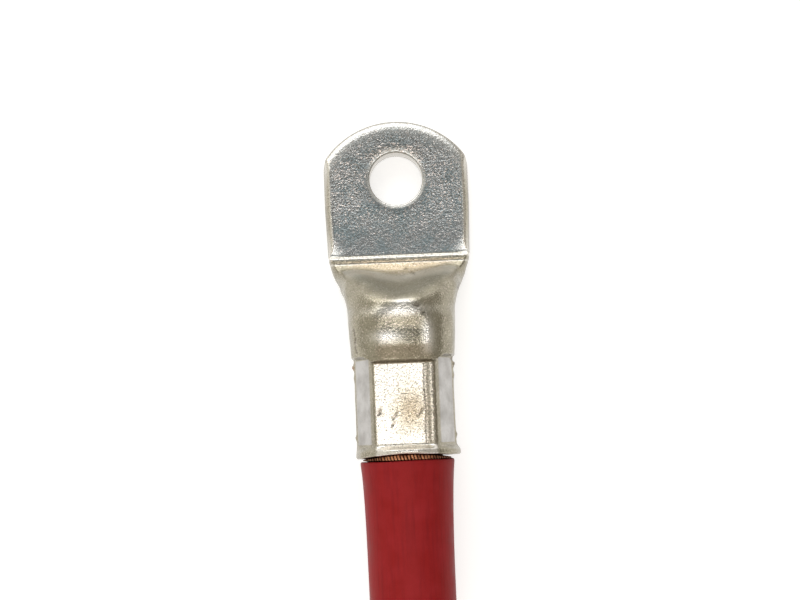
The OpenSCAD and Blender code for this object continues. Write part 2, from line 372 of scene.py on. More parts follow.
def hexagon_reach(s, inset, phi):
    """Distance from the axis to the crimp's hexagon, inset by a wall: a smooth minimum of the
    distances to its three pairs of flats, which rounds the corners."""
    side = s.crimp_width / 2 * np.cos(s.slope) - inset
    parts = (np.abs(np.sin(phi)) / (s.crimp_height / 2 - inset),
             np.abs(np.cos(phi - s.slope)) / side,
             np.abs(np.cos(phi + s.slope)) / side)
    return sum(part ** s.sharpness for part in parts) ** (-1 / s.sharpness)


def on_top(phi, inner, outer):
    """1 on the upper and lower flats, 0 on the sloping ones, by the angle from the vertical."""
    off = np.degrees(np.arccos(np.clip(np.abs(np.sin(phi)), 0, 1)))
    return 1 - ease((off - inner) / (outer - inner))


def pressing(s, y, phi):
    """How far the section is pressed to the hexagon. The sloping flats reach further forward than
    the upper one, and the lip flares out as a short skirt."""
    start = s.crimp_y + mix(0.75, 0.05, on_top(phi, 36, 46))
    run = mix(0.45, 0.6, on_top(phi, 36, 46))
    back = ease((s.lip_y - y) / 1.25)
    return np.where(y > (s.crimp_y + s.lip_y) / 2, ease((start - y) / run), 1 - back)


def crimp_marks(s, y, phi):
    """What the dies leave on the hexagon, as a change of its reach: the side plates stand proud,
    a fold runs along the right of the upper flat, the flat is a little hollow in its middle, and
    flash stands along the side corners near both ends."""
    x = hexagon_reach(s, 0, phi) * np.cos(phi)
    upper = np.sin(phi) > 0
    plates = 0.09 * band(np.abs(x), 5.1, 7.45, 0.3, 0.25)
    wavy = x + 0.05 * np.sin(0.9 * y)
    fold = upper * (0.10 * hump(wavy, 4.0, 0.3) - 0.13 * hump(wavy, CREASE_X, 0.34))
    hollow = -0.05 * hump(x, 0.6, 2.2) * hump(y, s.crimp_y - 6.2, 3.0) * upper
    off = np.degrees(np.arcsin(np.clip(np.abs(np.sin(phi)), 0, 1)))
    nubs = (0.32 * hump(y, s.crimp_y - 0.7, 0.4) + 0.2 * hump(y, s.lip_y + 1.2, 0.35)
            + 0.12 * hump(y, s.crimp_y - 2.4, 0.5))
    return plates + fold + hollow + nubs * np.exp(-(off / 3.2) ** 2)


def lip_reach(s, y, phi):
    """Radius of the lip: it flares most at the right and bulges once at the upper left."""
    bulge = hump(np.degrees(phi) % 360, 146, 9)
    flare = LIP_RADIUS + 0.2 * np.cos(phi) + 0.16 * bulge + 0.05 * np.cos(3 * phi + 1)
    return flare + 0.12 * ease((s.lip_y - y) / (s.lip_y - s.end_y))


def dished(s, y, x, phi):
    """How far the top of the shoulder lies further forward between its middle and its sides."""
    opened = np.clip((s.shoulder_y - y) / s.shoulder_length, 0, 1)
    share = np.minimum(np.abs(x) / half_width(s, y), 1)
    across = 4 * share ** 2 * (1 - share ** 2) * (np.sin(phi) > 0)
    return s.shoulder_dish * np.sin(np.pi * opened) ** 2 * across


def bowed(s, y, phi):
    """How far the lip lies further forward: most at its top and bottom, and a little more at the
    right than at the left, growing towards the open end."""
    growth = np.clip((s.lip_y - y) / (s.lip_y - s.end_y), 0, 1)
    uneven = 0.05 + 0.09 * np.cos(phi) + 0.05 * np.cos(3 * phi + 0.5)
    return growth * (s.lip_bow * np.sin(phi) ** 2 + uneven)


def opening_section(s, y, a, h, fold, power, phi):
    """Section of half axes a and h that opens down the shoulder from a pressed bar into a rounded
    one, and the radius of the rounded one."""
    opened = ease((s.shoulder_y - y) / s.shoulder_length)
    flat_x, flat_z = pressed_section(a, h, fold, phi)
    round_x, round_z = rounded_section(a, h, power, phi)
    radius = np.hypot(round_x, round_z)
    return mix(flat_x, round_x, opened), mix(flat_z, round_z, opened), radius


def lug_outside(s, y, phi):
    """Outer surface behind the step, rows along y and columns round the section. Down to the
    barrel the pressed bar opens into a rounded section; from there the radius goes from that
    section to the hexagon and out to the lip."""
    half = top_at(s, y) / 2
    a = half_width(s, y)
    boxy = mix(2.1, 2.9, ease((s.barrel_y + 0.6 - y) / 2.4))
    power = mix(2.0, boxy, ease(3 * np.sin(phi)))
    fold = np.minimum(fold_at(s, y), a)
    x, z, barrel_r = opening_section(s, y, a, half, fold, power, phi)
    pressed = pressing(s, y, phi)
    lip = y < (s.crimp_y + s.lip_y) / 2
    hexagon = hexagon_reach(s, 0, phi) + crimp_marks(s, y, phi)
    r = mix(np.where(lip, lip_reach(s, y, phi), barrel_r), hexagon, pressed)
    centre = mix(half, s.axis_z, np.where(lip, 1, pressed))
    behind = y < s.barrel_y
    x = np.where(behind, r * np.cos(phi), x)
    z = np.where(behind, centre + r * np.sin(phi), half + z)
    return np.stack([x, y + dished(s, y, x, phi) + bowed(s, y, phi), z], -1)


def lug_inside(s, y, phi):
    """Bore, from the mouth inwards: round, hexagonal in the crimp, and narrowing in the shoulder
    to the slit where the pressed walls meet."""
    pressed = pressing(s, y, phi)
    r = mix(s.bore_r, hexagon_reach(s, s.crimp_wall, phi), pressed)
    half = np.maximum(SLIT_HALF, top_at(s, y) / 2 - s.wall)
    x, z, _ = opening_section(s, y, half_width(s, y) - s.wall, half, half, 2.0, phi)
    behind = y < s.barrel_y
    x = np.where(behind, r * np.cos(phi), x)
    z = np.where(behind, s.axis_z + r * np.sin(phi), top_at(s, y) / 2 + z)
    return np.stack([x, y + 0 * phi, z], -1)


def barrel_grid(s):
    """The lug behind the step as one grid: along the outside to the lip, round its edge, and back
    up the bore to a point at its closed end."""
    phi = SECTION_ANGLES[None, :]
    rows = np.concatenate([
        [s.step_y], stretch(s.step_y, s.step_y - 0.5, 0.055),
        stretch(s.step_y - 0.5, s.shoulder_y, 0.09),
        stretch(s.shoulder_y, s.shoulder_y - 0.5, 0.08),
        stretch(s.shoulder_y - 0.5, s.barrel_y, 0.25),
        stretch(s.barrel_y, s.crimp_y + 1.1, 0.22),
        stretch(s.crimp_y + 1.1, s.crimp_y - 0.8, 0.065),
        stretch(s.crimp_y - 0.8, s.lip_y + 0.5, 0.27),
        stretch(s.lip_y + 0.5, s.end_y + s.lip_edge, 0.09),
    ])
    outside = lug_outside(s, rows[:, None], phi)
    turn = np.radians(np.linspace(15, 90, 6))[:, None]
    rim = outside[-1:]
    inward = around(1, phi, 0, 0)
    back = np.array([0, -1, 0])
    rounding = (1 - np.cos(turn))[:, :, None] * inward - np.sin(turn)[:, :, None] * back
    edge = rim - s.lip_edge * rounding
    mouth_y = edge[-1, :, 1]
    mouth = [around(s.bore_r + wider, phi[0], mouth_y + inwards, s.axis_z)
             for wider, inwards in ((1.0, 0), (0.35, 0), (0.08, 0.25))]
    depths = np.concatenate([stretch(s.end_y + 1.0, s.crimp_y + 1.0, 0.6),
                             stretch(s.crimp_y + 1.0, s.shoulder_y - 0.2, 0.6)])
    inside = lug_inside(s, depths[:, None], phi)
    closed_end = np.broadcast_to(inside[-1].mean(axis=0) + [0, 0.1, 0], (1, SECTION_POINTS, 3))
    points = np.concatenate([outside, edge, np.array(mouth), inside, closed_end])
    return grid(points, closed=True)


def softened(loop):
    """The loop with its corners rounded: each point but the two ends moves to the mean of itself
    and its neighbours, several times."""
    for _ in range(SOFTENING):
        loop = np.concatenate([loop[:1], (loop[:-2] + 2 * loop[1:-1] + loop[2:]) / 4, loop[-1:]])
    return loop


def palm_border(s):
    """Plan of the palm's edge as a loop that starts at the right of the step: for each place the
    inner point, where the pad ends, the outer point, and how far the edge is blanked (1) rather
    than folded (0)."""
    flank = np.arange(SIDE_STEPS + 1) / SIDE_STEPS
    corner_x = s.palm_half
    corner_y = s.end_centre + np.sqrt(s.blank_radius ** 2 - corner_x ** 2)
    inner_r = s.blank_radius - s.rollover_width
    inner_x = s.palm_half - s.fold_width
    inner_corner_y = s.end_centre + np.sqrt(inner_r ** 2 - inner_x ** 2)
    out_y = mix(s.step_y, corner_y, flank)
    in_y = mix(s.step_y, inner_corner_y, flank)
    right_out = np.stack([palm_side(s, out_y), out_y], -1)
    right_in = np.stack([palm_side(s, in_y) - fold_at(s, in_y), in_y], -1)
    centre = np.array([0, s.end_centre])
    swing = np.arange(ARC_STEPS + 1) / ARC_STEPS

    def arc(radius, start_x, start_y):
        first = np.arctan2(start_y - s.end_centre, start_x)
        angle = mix(first, np.pi - first, swing)
        return centre + radius * spokes(angle)

    arc_out = arc(s.blank_radius, corner_x, corner_y)
    arc_in = arc(inner_r, inner_x, inner_corner_y)
    mirror = np.array([-1, 1])
    outer = softened(np.concatenate([right_out, arc_out[1:-1], (right_out * mirror)[::-1]]))
    inner = softened(np.concatenate([right_in, arc_in[1:-1], (right_in * mirror)[::-1]]))
    place = np.arange(len(outer))
    last = len(outer) - 1
    blanked = ease((np.minimum(place, last - place) - SIDE_STEPS + 2.5) / 5)
    return inner, outer, blanked


def edge_profile(s, blanked):
    """Edge of the palm in section, as shares of the way out and heights, from the pad to the
    underside: a half ellipse where the tube folds, and where it is blanked a rolled-over quarter
    ellipse, an upright wall with the seam of the two layers, and a small lower radius."""
    turn = np.radians(90 - 180 * np.arange(2 * FOLD_STEPS + 1) / (2 * FOLD_STEPS))
    t = s.palm_thickness
    folded = np.stack([np.cos(turn), t / 2 * (1 + np.sin(turn))], -1)
    roll = np.radians(90 * np.arange(9) / 8)
    rolled = np.stack([np.sin(roll), t - s.rollover_depth * (1 - np.cos(roll))], -1)
    seam = t / 2
    wall_z = np.array([t - 1.0, t - 1.4, seam + 0.45, seam + 0.16, seam, seam - 0.16, seam - 0.5,
                       1.2, 0.8, 0.45, 0.22, 0.1])
    wall = np.stack([np.ones_like(wall_z), wall_z], -1)
    wall[4, 0] = 0.9
    wall[-1, 0] = 0.985
    foot = np.array([[0.955, 0.03], [0.9, 0.0], [0.8, 0.0], [0.65, 0.0]])
    cut = np.concatenate([rolled, wall, foot])
    return mix(folded[None], cut[None], blanked[:, None, None])


def palm_edge(s):
    """Grid of the palm's edge: columns along the border, rows from the pad to the underside. A
    thin ridge stands where the pad ends beside the folds."""
    inner, outer, blanked = palm_border(s)
    profile = edge_profile(s, blanked)
    share = profile[:, :, :1]
    plan = inner[:, None] + (outer - inner)[:, None] * share
    ridge = ridge_height(s, inner, blanked)[:, None] * np.exp(-(share[:, :, 0] / RIDGE_FADE) ** 2)
    ridge[:, FOLD_STEPS:] = 0
    return lifted(plan, profile[:, :, 1] + ridge), blanked


def ridge_height(s, inner, blanked):
    """The ridge beside the pad fades at the step and is absent along the blanked end."""
    return RIDGE_HEIGHT * (1 - blanked) * ease((inner[:, 1] - s.step_y) / 0.8)


def drawn_down(from_hole):
    """How far the punch drew the pad down round the hole: a little widely, and more at its edge."""
    return 0.04 * np.exp(-(from_hole / 1.15) ** 2) + 0.09 * np.exp(-(from_hole / 0.55) ** 2)


def bearing(plan):
    """Angles of places in plan, seen from the stud hole's axis."""
    return np.arctan2(plan[:, 1], plan[:, 0])


def palm_face(s, border, rows):
    """Face of the palm: straight lines from the hole's edge out to the border."""
    start = (s.hole_r + s.hole_bevel) * spokes(bearing(border))
    return start[None] + (border[:, :2] - start)[None] * rows[:, None, None]


def palm_grids(s):
    """The palm in two grids: its edge, and a closed loop of lines that run from the underside's
    border in to the hole, up its wall, over its rounded edge and out across the pad. The metal
    round the hole is drawn down a little by the punch."""
    edge, blanked = palm_edge(s)
    x, _ = pressed_section(palm_side(s, s.step_y), s.palm_thickness / 2, fold_at(s, s.step_y),
                           SECTION_ANGLES)
    flat = slice(FOLD_STEPS + 1, FOLD_STEPS + FLAT_STEPS)
    step_line = np.stack([x[flat][::-1], np.full(FLAT_STEPS - 1, s.step_y)], -1)
    top_border = np.concatenate([edge[:, 0, :2], step_line])
    low_border = np.concatenate([edge[:, -1, :2], step_line])
    none = np.zeros(len(step_line))
    ridge = np.concatenate([ridge_height(s, edge[:, 0], blanked), none])
    out = (np.arange(1, 45) / 44) ** 1.15
    face = palm_face(s, top_border, out)
    from_hole = np.hypot(face[..., 0], face[..., 1]) - s.hole_r
    to_border = np.linalg.norm(face - top_border[None], axis=-1)
    edge_fade = ease(to_border / 1.0)
    height = (s.palm_thickness + ridge * np.exp(-(to_border / RIDGE_FADE) ** 2)
              - drawn_down(from_hole) * edge_fade)
    spoke = spokes(bearing(top_border))
    lower_spoke = spokes(bearing(low_border))
    lip_z = s.palm_thickness - drawn_down(s.hole_bevel)
    turn = np.radians(np.arange(0, 91, 15))
    bevel = [lifted(spoke * (s.hole_r + s.hole_bevel * (1 - np.cos(t))),
                    lip_z - s.hole_bevel * (1 - np.sin(t))) for t in turn]
    wall = [lifted(mix(lower_spoke, spoke, u) * s.hole_r,
                   mix(HOLE_FOOT, lip_z - s.hole_bevel, u)) for u in (0, 0.2, 0.4, 0.6, 0.8)]
    foot = lower_spoke * (s.hole_r + HOLE_FOOT)
    lower = foot[None] + (low_border - foot)[None] * np.linspace(1, 0, 13)[:, None, None]
    loop = np.concatenate([lifted(lower, 0), np.array(wall), np.array(bevel),
                           lifted(face, height)])
    return grid(loop, closed=True, flip=True), grid(edge)


STROKES = (
    # Scratches and pits in the tin: from, to and half width, seen from above
    (-1.9, -38.1, -1.2, -37.1, 0.11),
    (-2.1, -39.2, -1.7, -38.6, 0.10),
    (2.0, -37.6, 2.9, -36.6, 0.10),
    (-3.95, -37.4, -3.85, -36.8, 0.30),
    (1.6, -15.0, 2.3, -15.5, 0.12),
    (0.6, -14.4, 1.3, -14.6, 0.10),
    (-9.9, -16.4, -9.4, -17.6, 0.12),
    (-7.40, -24.3, -7.25, -25.3, 0.10),
    (-7.15, -25.8, -7.30, -26.5, 0.14),
    (-7.30, -27.1, -7.05, -28.0, 0.11),
    (2.2, -21.3, 2.6, -21.4, 0.25),
    (3.2, -22.4, 3.5, -22.4, 0.14),
    (7.5, -29.2, 8.1, -29.6, 0.25),
    (9.3, -17.3, 8.9, -18.4, 0.12),
    (-6.6, -17.2, -6.3, -17.3, 0.18),
)


def lug_zones(s, points, normals):
    """Where each finish lies, from 0 to 1: the pressed pad; the plates that the dies' sides
    rubbed; the burnished crimp's flat, save a duller and warmer patch in its middle, and the
    burnished ridge; painted highlights on the ridge, the hole's rim and wall, the riser and the
    lip; the warm ramp behind the step, a tint with a painted highlight; dirt in pits and
    scratches, the right-hand flash painted dark, and painted shade in the crimp's corners and
    fold, under the barrel, on the tip side of the hole and along the palm's edge; bare copper on
    the flash; painted highlights on the crests and edges; the smooth part of the pad; and the matt
    climb of the shoulder."""
    x, y, z = points.T
    upper = z > s.axis_z
    side_angle = np.degrees(np.arctan2(np.abs(z - s.axis_z), np.abs(x)))
    palm = ease((y - s.step_y) / 0.05) * (z > 0.6 * s.palm_thickness)
    beside = palm_side(s, y) - fold_at(s, y) - np.abs(x)
    from_arc = s.blank_radius - np.hypot(x, y - s.end_centre)
    from_hole = np.hypot(x, y) - s.hole_r
    pad = palm * ease(beside / 0.12 + 0.5) * ease(from_arc / 0.5) * ease(normals[:, 2] * 4 - 2)
    in_crimp = band(y, s.lip_y + 0.05, s.crimp_y + 0.25, 0.12, 0.12)
    plate = in_crimp * band(np.abs(x), 5.2, 7.5, 0.16, 0.16)
    top_crimp = band(y, s.lip_y, s.crimp_y - 0.45, 0.12, 0.12) * upper
    facet = top_crimp * ease((4.55 - np.abs(x)) / 0.15)
    patch = facet * hump(x, 0.9, 2.4) * hump(y, s.crimp_y - 7.6, 3.0)
    # The ridge, the hole's rim, the arc's band, the riser, the hole's wall and the lip's top get
    # painted highlights below, through the lighter coats; the rim's is stronger on its cable side
    ridge = palm * hump(beside, -0.1, 0.25)
    rim = palm * hump(from_hole, 0.3, 0.25)
    arc_band = palm * hump(from_arc, 0.7, 1.5)
    riser = hump(y, s.step_y - 0.28, 0.25) + 0.5 * hump(y, s.shoulder_y, 0.15)
    in_hole = ease((0.1 - from_hole) / 0.2) * (y > s.step_y)
    lip_top = ease((s.lip_y - y) / 0.1) * upper * ease((4.9 - np.abs(x)) / 0.6)
    right_fold = ease((x - 3.0) / 0.3)
    rubbed_flat = facet * (1 - 0.85 * patch) * (1 - 0.5 * right_fold)
    # Burnished by the dies on the crimp's flat and the ridge; on the hole's rim and wall, the riser
    # and the lip's top this lighter coat is a painted highlight
    burnish_and_highlight = np.maximum.reduce([rubbed_flat, 0.8 * ridge, rim, riser, in_hole, 0.8 * lip_top])
    # The warm ramp behind the step ends in a curve, further back in the middle
    curve = s.shoulder_y - 3.6 + 2.4 * (x / 9) ** 2
    # Painted highlight as well as a tint: the ramp lightens where it leans towards the tip and up
    lit_ramp = band(y, curve, s.step_y - 0.6, 3.2, 0.3) * upper_slope(normals)
    warm = np.maximum(lit_ramp, 0.9 * patch)
    # Painted highlight where the shoulder's top faces the tip steeply
    crease = (ease((normals[:, 1] - 0.7) / 0.2) * ease((y - s.barrel_y - 1) / 2)
              * ease((10.5 - z) / 4))
    # Painted highlights: the lighter coat that these places get stands in for reflected light
    bright = np.maximum.reduce([in_hole, 0.6 * riser, 0.5 * arc_band, 0.35 * ridge,
                                rim * mix(0.3, 0.8, ease((1 - y) / 2)), 0.45 * lip_top,
                                0.8 * crests(s, x, y, z),
                                0.45 * crease * (y < s.shoulder_y) * (z > s.palm_thickness)])
    smooth = pad * ease((-1.5 - y) / 9)
    matt = ease((normals[:, 1] - 0.45) / 0.3) * (y < s.shoulder_y) * (y > s.barrel_y)
    grime_and_shade = np.zeros(len(x))
    for stroke in STROKES:
        grime_and_shade = np.maximum(grime_and_shade, near_stroke(x, y, stroke) * (normals[:, 2] > 0))
    # Painted shade: the rounded corners between the crimp's flats and its side plates are darkened
    # a little
    corner_shade = in_crimp * band(np.abs(x), 4.55, 5.25, 0.12, 0.12)
    # Painted shade in the crease of the fold along the crimp's upper flat
    fold = top_crimp * np.maximum(hump(x, CREASE_X, 0.35), 0.8 * hump(x, 4.5, 0.2))
    # Painted shadow under the barrel's overhang, along the upper edge of the crimp's upper flat
    shadow_under_barrel = hump(y, s.crimp_y - 0.35, 0.22) * (np.abs(x) < 5.0) * upper
    # Painted shade on the pad's tip side of the stud hole, where it slopes down to the hole
    shade_tip_side_of_hole = palm * hump(from_hole, 0.9, 0.8) * ease((y - 2.4) / 1.6)
    # Painted shade: a dark line along the upper part of the palm's edge
    at_edge = np.minimum(from_arc, palm_side(s, y) - np.abs(x))
    outline = (y > s.step_y) * (z > 0.5 * s.palm_thickness) * hump(at_edge, 0.05, 0.2)
    grime_and_shade = np.maximum.reduce([grime_and_shade, 0.08 * corner_shade, 0.45 * fold, 0.75 * shadow_under_barrel,
                               0.45 * shade_tip_side_of_hole, 0.5 * outline])
    nubs = hump(y, s.crimp_y - 0.8, 0.5) + 0.6 * hump(y, s.lip_y + 1.2, 0.3)
    nubs = nubs * np.exp(-(side_angle / 4) ** 2)
    copper = nubs * (x < 0)
    grime_and_shade = np.maximum(grime_and_shade, 0.8 * nubs * (x > 0))
    return {"pad": pad, "plate": plate, "burnish_and_highlight": burnish_and_highlight, "warm": warm, "grime_and_shade": grime_and_shade,
            "copper": copper, "bright": bright, "smooth": smooth, "matt": matt}


def upper_slope(normals):
    """1 where a surface leans towards the tip and up."""
    return ease(normals[:, 1] * 4) * ease(normals[:, 2] * 3)


BARREL_MARKS = (
    # Soft crests and dips on top of the barrel: place, half width across and along, and height
    (0.3, -20.7, 1.5, 0.5, 0.03),
    (0.0, -21.9, 3.4, 0.8, 0.06),
    (0.7, -24.4, 2.3, 1.2, -0.13),
    (-2.3, -25.8, 2.0, 0.9, 0.06),
    (3.9, -25.8, 0.8, 2.4, 0.09),
)


def at_mark(x, y, mark):
    """1 in the middle of a mark, fading over its half widths."""
    mark_x, mark_y, half_x, half_y, _ = mark
    return hump(x, mark_x, half_x) * hump(y, mark_y, half_y)


def crests(s, x, y, z):
    """1 on the raised marks on top of the barrel: rubbing has brightened them, and they get a
    painted highlight.
    """
    shine = np.maximum.reduce([at_mark(x, y, mark) for mark in BARREL_MARKS if mark[-1] > 0])
    return shine * (z > s.axis_z) * ease((y - s.crimp_y - 0.3) / 0.8)


def lug_relief(s, points, zones):
    """Unevenness of the lug along its normals: crests and dips on the barrel, long soft dents
    behind the step, hammered grain on the pad, and pits. The contact face and the hole have
    none."""
    x, y, z = points.T
    behind = ease((s.step_y - 0.9 - y) / 1.5)
    free = ease((z - 0.6) / 1.5)
    crimp = band(y, s.lip_y, s.crimp_y, 0.4, 0.6)
    dents = (0.03 * wobble(points, 4.5, 3) + 0.008 * wobble(points, 1.8, 5)) * mix(1.0, 0.4, crimp)
    marks = sum(mark[-1] * at_mark(x, y, mark) for mark in BARREL_MARKS)
    dents = dents + marks * (z > s.axis_z) * ease((y - s.crimp_y) / 0.8)
    grain = 0.002 * wobble(points, 0.9, 11, 30) * zones["pad"]
    outside = (np.hypot(x, z - s.axis_z) > s.bore_r + 0.6) | (y > s.barrel_y)
    pits = 0.08 * zones["grime_and_shade"] * (zones["grime_and_shade"] > 0.7)
    return (dents * behind * outside + grain - pits) * free


def arc_fall(s, points):
    """How far the pad sinks towards its blanked end, more and more over its last 3 mm."""
    x, y, z = points.T
    from_arc = s.blank_radius - np.hypot(x, y - s.end_centre)
    upper = ease((z / s.palm_thickness - 0.55) / 0.25) * (y > s.step_y)
    return 0.26 * np.clip(1 - from_arc / 3.0, 0, 1) ** 2.2 * upper


def build_lug():
    """The lug's closed surface with its zones."""
    s = lug_stations()
    palm, edge = palm_grids(s)
    points, triangles = weld(palm, edge, barrel_grid(s))
    normals = vertex_normals(points, triangles)
    zones = lug_zones(s, points, normals)
    points = points + normals * lug_relief(s, points, zones)[:, None]
    points[:, 2] -= arc_fall(s, points)
    points[:, 2] = np.minimum(points[:, 2], 2 * s.tube_r)
    return points, triangles, zones


# The cable ---------------------------------------------------------------------------------------

# How soon the swelling behind the rim dies away, and where it ends, in mm
SWELL_FADE = 5.0
SWELL_END = 15.0
# Points round a section of the insulation
SHEATH_COLUMNS = 192


def cable_stations():
    """The cable's sizes in millimetres, with the places that the frame gives."""
    c = in_mm(bpy.context.scene.cable_sizes)
    low, high = (np.array(corner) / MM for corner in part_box("conductor"))
    c.core_r = (high[0] - low[0]) / 2 - c.wire_bulge
    c.wire_start = high[1]
    low, high = (np.array(corner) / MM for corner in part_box("insulation"))
    c.rim_y = high[1]
    c.cut_y = low[1]
    c.swell = (high[0] - low[0]) / 2 - c.core_r - SLEEVE_CLEARANCE - c.sheath_wall
    c.axis_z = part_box("lug")[1].z / MM / 2
    c.ring_r = c.core_r - c.wire_diameter / 2
    c.wires = int(2 * np.pi * c.ring_r / c.wire_diameter)
    return c


def swelling(c, away):
    """How far the cable is swollen at a distance behind the stripped rim: it dies away."""
    away = np.maximum(away, 0)
    rest = np.exp(-SWELL_END / SWELL_FADE) * np.minimum(away / SWELL_END, 1)
    return c.swell * (np.exp(-away / SWELL_FADE) - rest)


def bundle_grid(c, s):
    """The bundle: round the axis each wire of the outer ring is a small arch, and the arches turn
    slowly along the bundle with its lay. The wires bulge out between the lip and the insulation,
    and inside the crimp they are pressed to the bore's hexagon. The fourth value of a point is
    painted shade: how deep it lies between two wires, and more at the bundle's sides by the lip."""
    steps = 8
    phi = full_turn(c.wires * steps)[None, :]
    rows = np.concatenate([
        [c.wire_start], stretch(c.wire_start, s.crimp_y, 3),
        stretch(s.crimp_y, s.crimp_y - 0.8, 0.4),
        stretch(s.crimp_y - 0.8, s.lip_y, 6), stretch(s.lip_y, s.end_y + 0.7, 0.3),
        stretch(s.end_y + 0.7, c.rim_y - 0.6, 0.08), stretch(c.rim_y - 0.6, c.rim_y - 6, 0.9),
        stretch(c.rim_y - 6, c.cut_y + 0.35, 6),
    ])[:, None]
    across = ((np.arange(c.wires * steps) % steps) / steps - 0.5) * 2
    arch = np.sqrt(1 - (0.98 * across) ** 2)[None, :]
    loose = np.minimum(0.05 * np.sin(7 * phi + 1) + 0.06 * np.sin(23 * phi + 2), 0)
    lay = 2 * np.pi * rows / c.wire_lay
    free = s.end_y + s.lip_bow * np.sin(phi + lay) ** 2
    bulge = c.wire_bulge * band(rows, c.rim_y - 0.12, free + 0.05, 0.15, 0.25)
    swollen = swelling(c, c.rim_y - rows) * (rows < c.rim_y)
    r = c.ring_r + c.wire_diameter / 2 * arch + np.maximum(bulge, swollen)
    r = r + loose * ease((s.end_y + 0.8 - rows) / 0.5)
    pressed = pressing(s, rows, phi)
    r = mix(r, hexagon_reach(s, s.crimp_wall + CRIMP_CLEARANCE, phi), pressed)
    turned = phi + lay * (1 - pressed)
    # Painted shade: the wires at the bundle's sides, from the rim forwards, are darker, as the lip
    # shades them
    lip_shadow = 0.22 * ease((np.abs(r * np.cos(turned)) - 3.4) / 1.4) * (rows > c.rim_y - 0.4)
    body = around(r, turned, rows, c.axis_z, 0, 1 - arch + lip_shadow)

    def cap(y):
        return np.broadcast_to([0, y, c.axis_z, 1], (1, phi.shape[1], 4))

    return grid(np.concatenate([cap(rows[0, 0]), body, cap(rows[-1, 0])]), closed=True)


def wire_ends(c):
    """The cut ends of the wires: short studs with a slightly rounded end, packed in a triangular
    pattern over the face of the bundle, each a touch longer or shorter than the next."""
    pitch = c.wire_diameter * 1.03
    span = int(c.core_r / pitch) + 2
    i, j = np.mgrid[-span:span + 1, -span:span + 1]
    centres = np.stack([(i + j / 2).ravel() * pitch, j.ravel() * pitch * np.sqrt(3) / 2], -1)
    centres = centres[np.hypot(*centres.T) < c.ring_r + 0.02]
    random = np.random.default_rng(21)
    centres += random.normal(0, 0.02, centres.shape)
    reach = random.uniform(0.02, 0.12, len(centres))
    wire_r = c.wire_diameter / 2 * 0.97
    angle = full_turn(12)
    grids = []
    # (radius share, height above the base as a share) of each ring of a stud, base first
    outline = ((0, 0), (1, 0), (1, 0.82), (0.85, 0.95), (0.5, 1.0), (0, 1.0))
    for (x, z), short in zip(centres, reach):
        rings = [around(wire_r * share, angle, mix(c.cut_y + 0.5, c.cut_y + short, up),
                        c.axis_z + z, x, 0.3) for share, up in outline]
        grids.append(grid(np.array(rings), closed=True))
    return grids


def sheath_grid(c):
    """The insulation: its outside from the rim to the cut, the cut face, and the bore back to the
    rim. Its wall is even, so the bore swells with the outside. The cable is gently uneven, and
    the rim was cut by a blade that went a little askew."""
    phi = full_turn(SHEATH_COLUMNS)[None, :]
    total = c.rim_y - c.cut_y
    turn = np.radians(np.linspace(0, 90, 7))
    away = np.concatenate([stretch(c.rim_radius, 6, 0.3), stretch(6, total - 0.15, 0.7)])
    depths = np.concatenate([stretch(total - 0.05, 6, 3), stretch(6, 0.12, 0.6)])

    def inner(place):
        return c.core_r + SLEEVE_CLEARANCE + swelling(c, place)

    outer_r = inner(away) + c.sheath_wall - 0.03
    place = np.concatenate([c.rim_radius * (1 - np.cos(turn)), away, [total, total, total - 0.05],
                            depths, [0]])[:, None]
    radius = np.concatenate([outer_r[0] - c.rim_radius * (1 - np.sin(turn)), outer_r,
                             [outer_r[-1] - 0.12, inner(total) + 0.5, inner(total)],
                             inner(depths), [inner(0) + 0.1]])[:, None]
    skin = ease((radius - inner(place) - 0.6) / 0.3)
    uneven = 0.03 * np.cos(2 * phi + 0.7 + place / 9) + 0.015 * np.cos(5 * phi - place / 4)
    askew = (0.05 * np.cos(phi - 0.4) + 0.03 * np.cos(4 * phi + 1) - 0.08) * ease((2 - place) / 2)
    r = radius + (uneven - 0.045) * skin
    points = around(r, phi, c.rim_y - place + askew, c.axis_z)
    return grid(np.concatenate([points, points[:1]]), closed=True)


# Materials ---------------------------------------------------------------------------------------

def node(tree, kind, settings=None, **links):
    """Adds a node. Settings are its attributes, or its inputs by name or number where it has no
    such attribute; links are more inputs by name, "_" standing for a space. An input is given a
    value, or another node's output to be joined to."""
    new = tree.nodes.new(kind)
    inputs = {key.replace("_", " "): value for key, value in links.items()}
    for key, value in {**(settings or {}), **inputs}.items():
        if isinstance(key, str) and hasattr(new, key):
            setattr(new, key, value)
        elif isinstance(value, bpy.types.NodeSocket):
            tree.links.new(value, new.inputs[key])
        else:
            new.inputs[key].default_value = value
    return new


def new_material(name):
    material = bpy.data.materials.new(name)
    material.use_nodes = True
    material.node_tree.nodes.clear()
    return material, material.node_tree


def rgba(prop):
    return (*prop, 1.0)


def blend(tree, factor, a, b):
    """Colour between a and b, each a colour or another node's output."""
    return node(tree, "ShaderNodeMix", {"data_type": "RGBA", 0: factor, 6: a, 7: b}).outputs[2]


def ramp(tree, value, low, high, to_low=0.0, to_high=1.0):
    """Maps a value from one range to another, held at both ends."""
    ranged = node(tree, "ShaderNodeMapRange",
                  {"From Min": low, "From Max": high, "To Min": to_low, "To Max": to_high},
                  Value=value)
    return ranged.outputs[0]


def maths(tree, operation, a, b):
    return node(tree, "ShaderNodeMath", {"operation": operation, 0: a, 1: b}).outputs[0]


def product(tree, *factors):
    """The product of two or more values, each a number or another node's output."""
    value = factors[0]
    for factor in factors[1:]:
        value = maths(tree, "MULTIPLY", value, factor)
    return value


def noise(tree, place, grain_mm, detail=2.0, rough=0.5):
    """Noise whose lumps are about grain_mm across."""
    return node(tree, "ShaderNodeTexNoise", {"Scale": 1 / (grain_mm * MM), "Detail": detail,
                                             "Roughness": rough}, Vector=place).outputs["Fac"]


